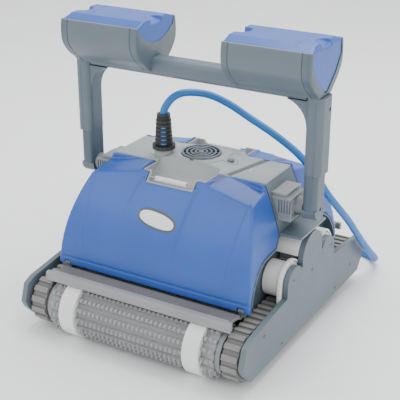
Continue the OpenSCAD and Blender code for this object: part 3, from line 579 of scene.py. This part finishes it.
def stripe(name, target, y0, y1, mat, slot_name, proud, cols):
    ribbon(name, target, [stripe_at(y0), stripe_at(y1)], STRIPE_W, DOWN, mat, slot_name, proud, cols)


stripe("cap_stripe", cap, -46.5, 46.5, STRIPE_GREY, "grey_cap", 0.2, 4)
stripe("front_stripe", covers["front_cover"], -50.5, -92, STRIPE_BLUE, "blue_shell", 0.25, 5)
stripe("rear_stripe", covers["rear_cover"], 50.5, 98, STRIPE_BLUE, "blue_shell", 0.25, 5)


def arc(cx, cy, r, a0, a1, n=32):
    angles = [math.radians(a0 + (a1 - a0) * i / n) for i in range(n + 1)]
    return [(cx + r * math.cos(a), cy + r * math.sin(a), CAP_Z) for a in angles]


def flat_line(points):
    return [(x, y, CAP_Z) for x, y in points]


ribbon("button_outline", cap, flat_line([(34, -34), (48, -9)]) + arc(57, 0, 12.5, 225, 495)[1:] + flat_line([(45, 38)]),
       1.1, DOWN, SEAM_AND_RECESS_SHADE, "dark_plastic", LINE_PROUD)
ribbon("slot_outline", cap, flat_line([(-36, 47), (-35, 38), (-31, 35.6), (35, 35.6), (39, 38), (40, 47)]), 1.4, DOWN,
       SEAM_AND_RECESS_SHADE, "dark_plastic", LINE_PROUD)
BADGE_PLACE, BADGE_TILT, BADGE_POWER = (-4, -133, 216), 7, 2.4
for name, rx, ry, mat, slot_name, proud in (("badge_rim", 38, 14, BADGE_RIM, "dark_plastic", 0.9),
                                            ("badge_face", 34.5, 10.8, BADGE, "roller_white", 1.7)):
    patch(name, covers["front_cover"], BADGE_PLACE, rx, ry, BACKWARD, UP, mat, slot_name, proud, BADGE_TILT,
          BADGE_POWER)
BOOT_X, BOOT_Y, BOOT_RIBS = -62, -22, (305.2, 312.2, 319.2, 326.2, 333.2)
for k, z in enumerate(BOOT_RIBS):
    for tag, azimuth in (("a", math.radians(30)), ("b", math.radians(210))):
        inward = Vector((-math.sin(azimuth), math.cos(azimuth), 0))
        patch("boot_slot_%s%d" % (tag, k), NODES["strain_relief"], (BOOT_X, BOOT_Y, z), 5.2 - k * 0.25, 1.25, inward, UP,
              MATS["cable_blue"], "cable_blue", 0.25, 0, 3)
for side, turn in (("right", 1), ("left", -1)):
    for tag, face in (("front", -1), ("back", 1)):
        ribbon("leg_seam_%s_%s" % (tag, side), FINE["leg_" + side],
               [(turn * 223, PIVOT_Y, 250), (turn * 223, PIVOT_Y, 424)], 0.9, (0, -face, 0), SEAM_AND_RECESS_SHADE, "slate_plastic", 0.1)
    # painted shade: four small dark plates on each hub housing stand in for the shaded insides of its recesses
    for k in range(4):
        patch("hub_recess_%s_%d" % (side, k), FINE["hub_housing_" + side], (turn * 190, -35 + k * 7.5, 226), 2.6, 4.4,
              (-turn, 0, 0), UP, SEAM_AND_RECESS_SHADE, "dark_plastic", HOLE_PROUD, 0, 6)
    shell = bpy.data.objects["float_%s_soft" % side]
    seam_x = turn * (FLOAT_X - 34)
    ribbon("float_seam_" + side, shell, [(seam_x, PIVOT_Y - 48, RIM_Z), (seam_x, PIVOT_Y + 48, RIM_Z)], 0.9, DOWN, SEAM_AND_RECESS_SHADE,
           "blue_shell", 0.1)
    # painted shade: a small dark disc stands in for the shaded inside of a hole in the float's top
    patch("float_hole_" + side, shell, (turn * (FLOAT_X - 42), PIVOT_Y - 20, RIM_Z), 2, 2, DOWN, BACKWARD, SEAM_AND_RECESS_SHADE,
          "dark_plastic", LINE_PROUD)

# ---------- floor and light ----------
floor_mesh = bpy.data.meshes.new("floor")
floor_mesh.from_pydata([(-9, -9, 0), (9, -9, 0), (9, 9, 0), (-9, 9, 0)], [], [(0, 1, 2, 3)])
floor = bpy.data.objects.new("floor", floor_mesh)
bpy.context.scene.collection.objects.link(floor)
floor_mesh.materials.append(surface("floor_pale", (0.93, 0.93, 0.93), 0.7, 200, 0.005, 0.01, 0.0, 0.0, 0.0))
world = bpy.data.worlds.new("studio")
bpy.context.scene.world = world
world.use_nodes = True
world.node_tree.nodes["Background"].inputs["Color"].default_value = (0.96, 0.98, 1.0, 1)
world.node_tree.nodes["Background"].inputs["Strength"].default_value = 1.25


def lamp(name, place, aim, size, power):
    d = bpy.data.lights.new(name, "AREA")
    d.size, d.energy = size, power
    o = bpy.data.objects.new(name, d)
    bpy.context.scene.collection.objects.link(o)
    o.location = place
    o.rotation_mode = "QUATERNION"
    o.rotation_quaternion = (Vector(aim) - Vector(place)).to_track_quat("-Z", "Y")


lamp("key", (-1.4, -1.8, 2.0), (0, 0, 0.2), 1.8, 16)
lamp("fill", (2.2, -0.8, 1.4), (0, 0, 0.2), 1.8, 10)
lamp("top", (0.1, 0.9, 2.4), (0, 0, 0.2), 1.8, 55)
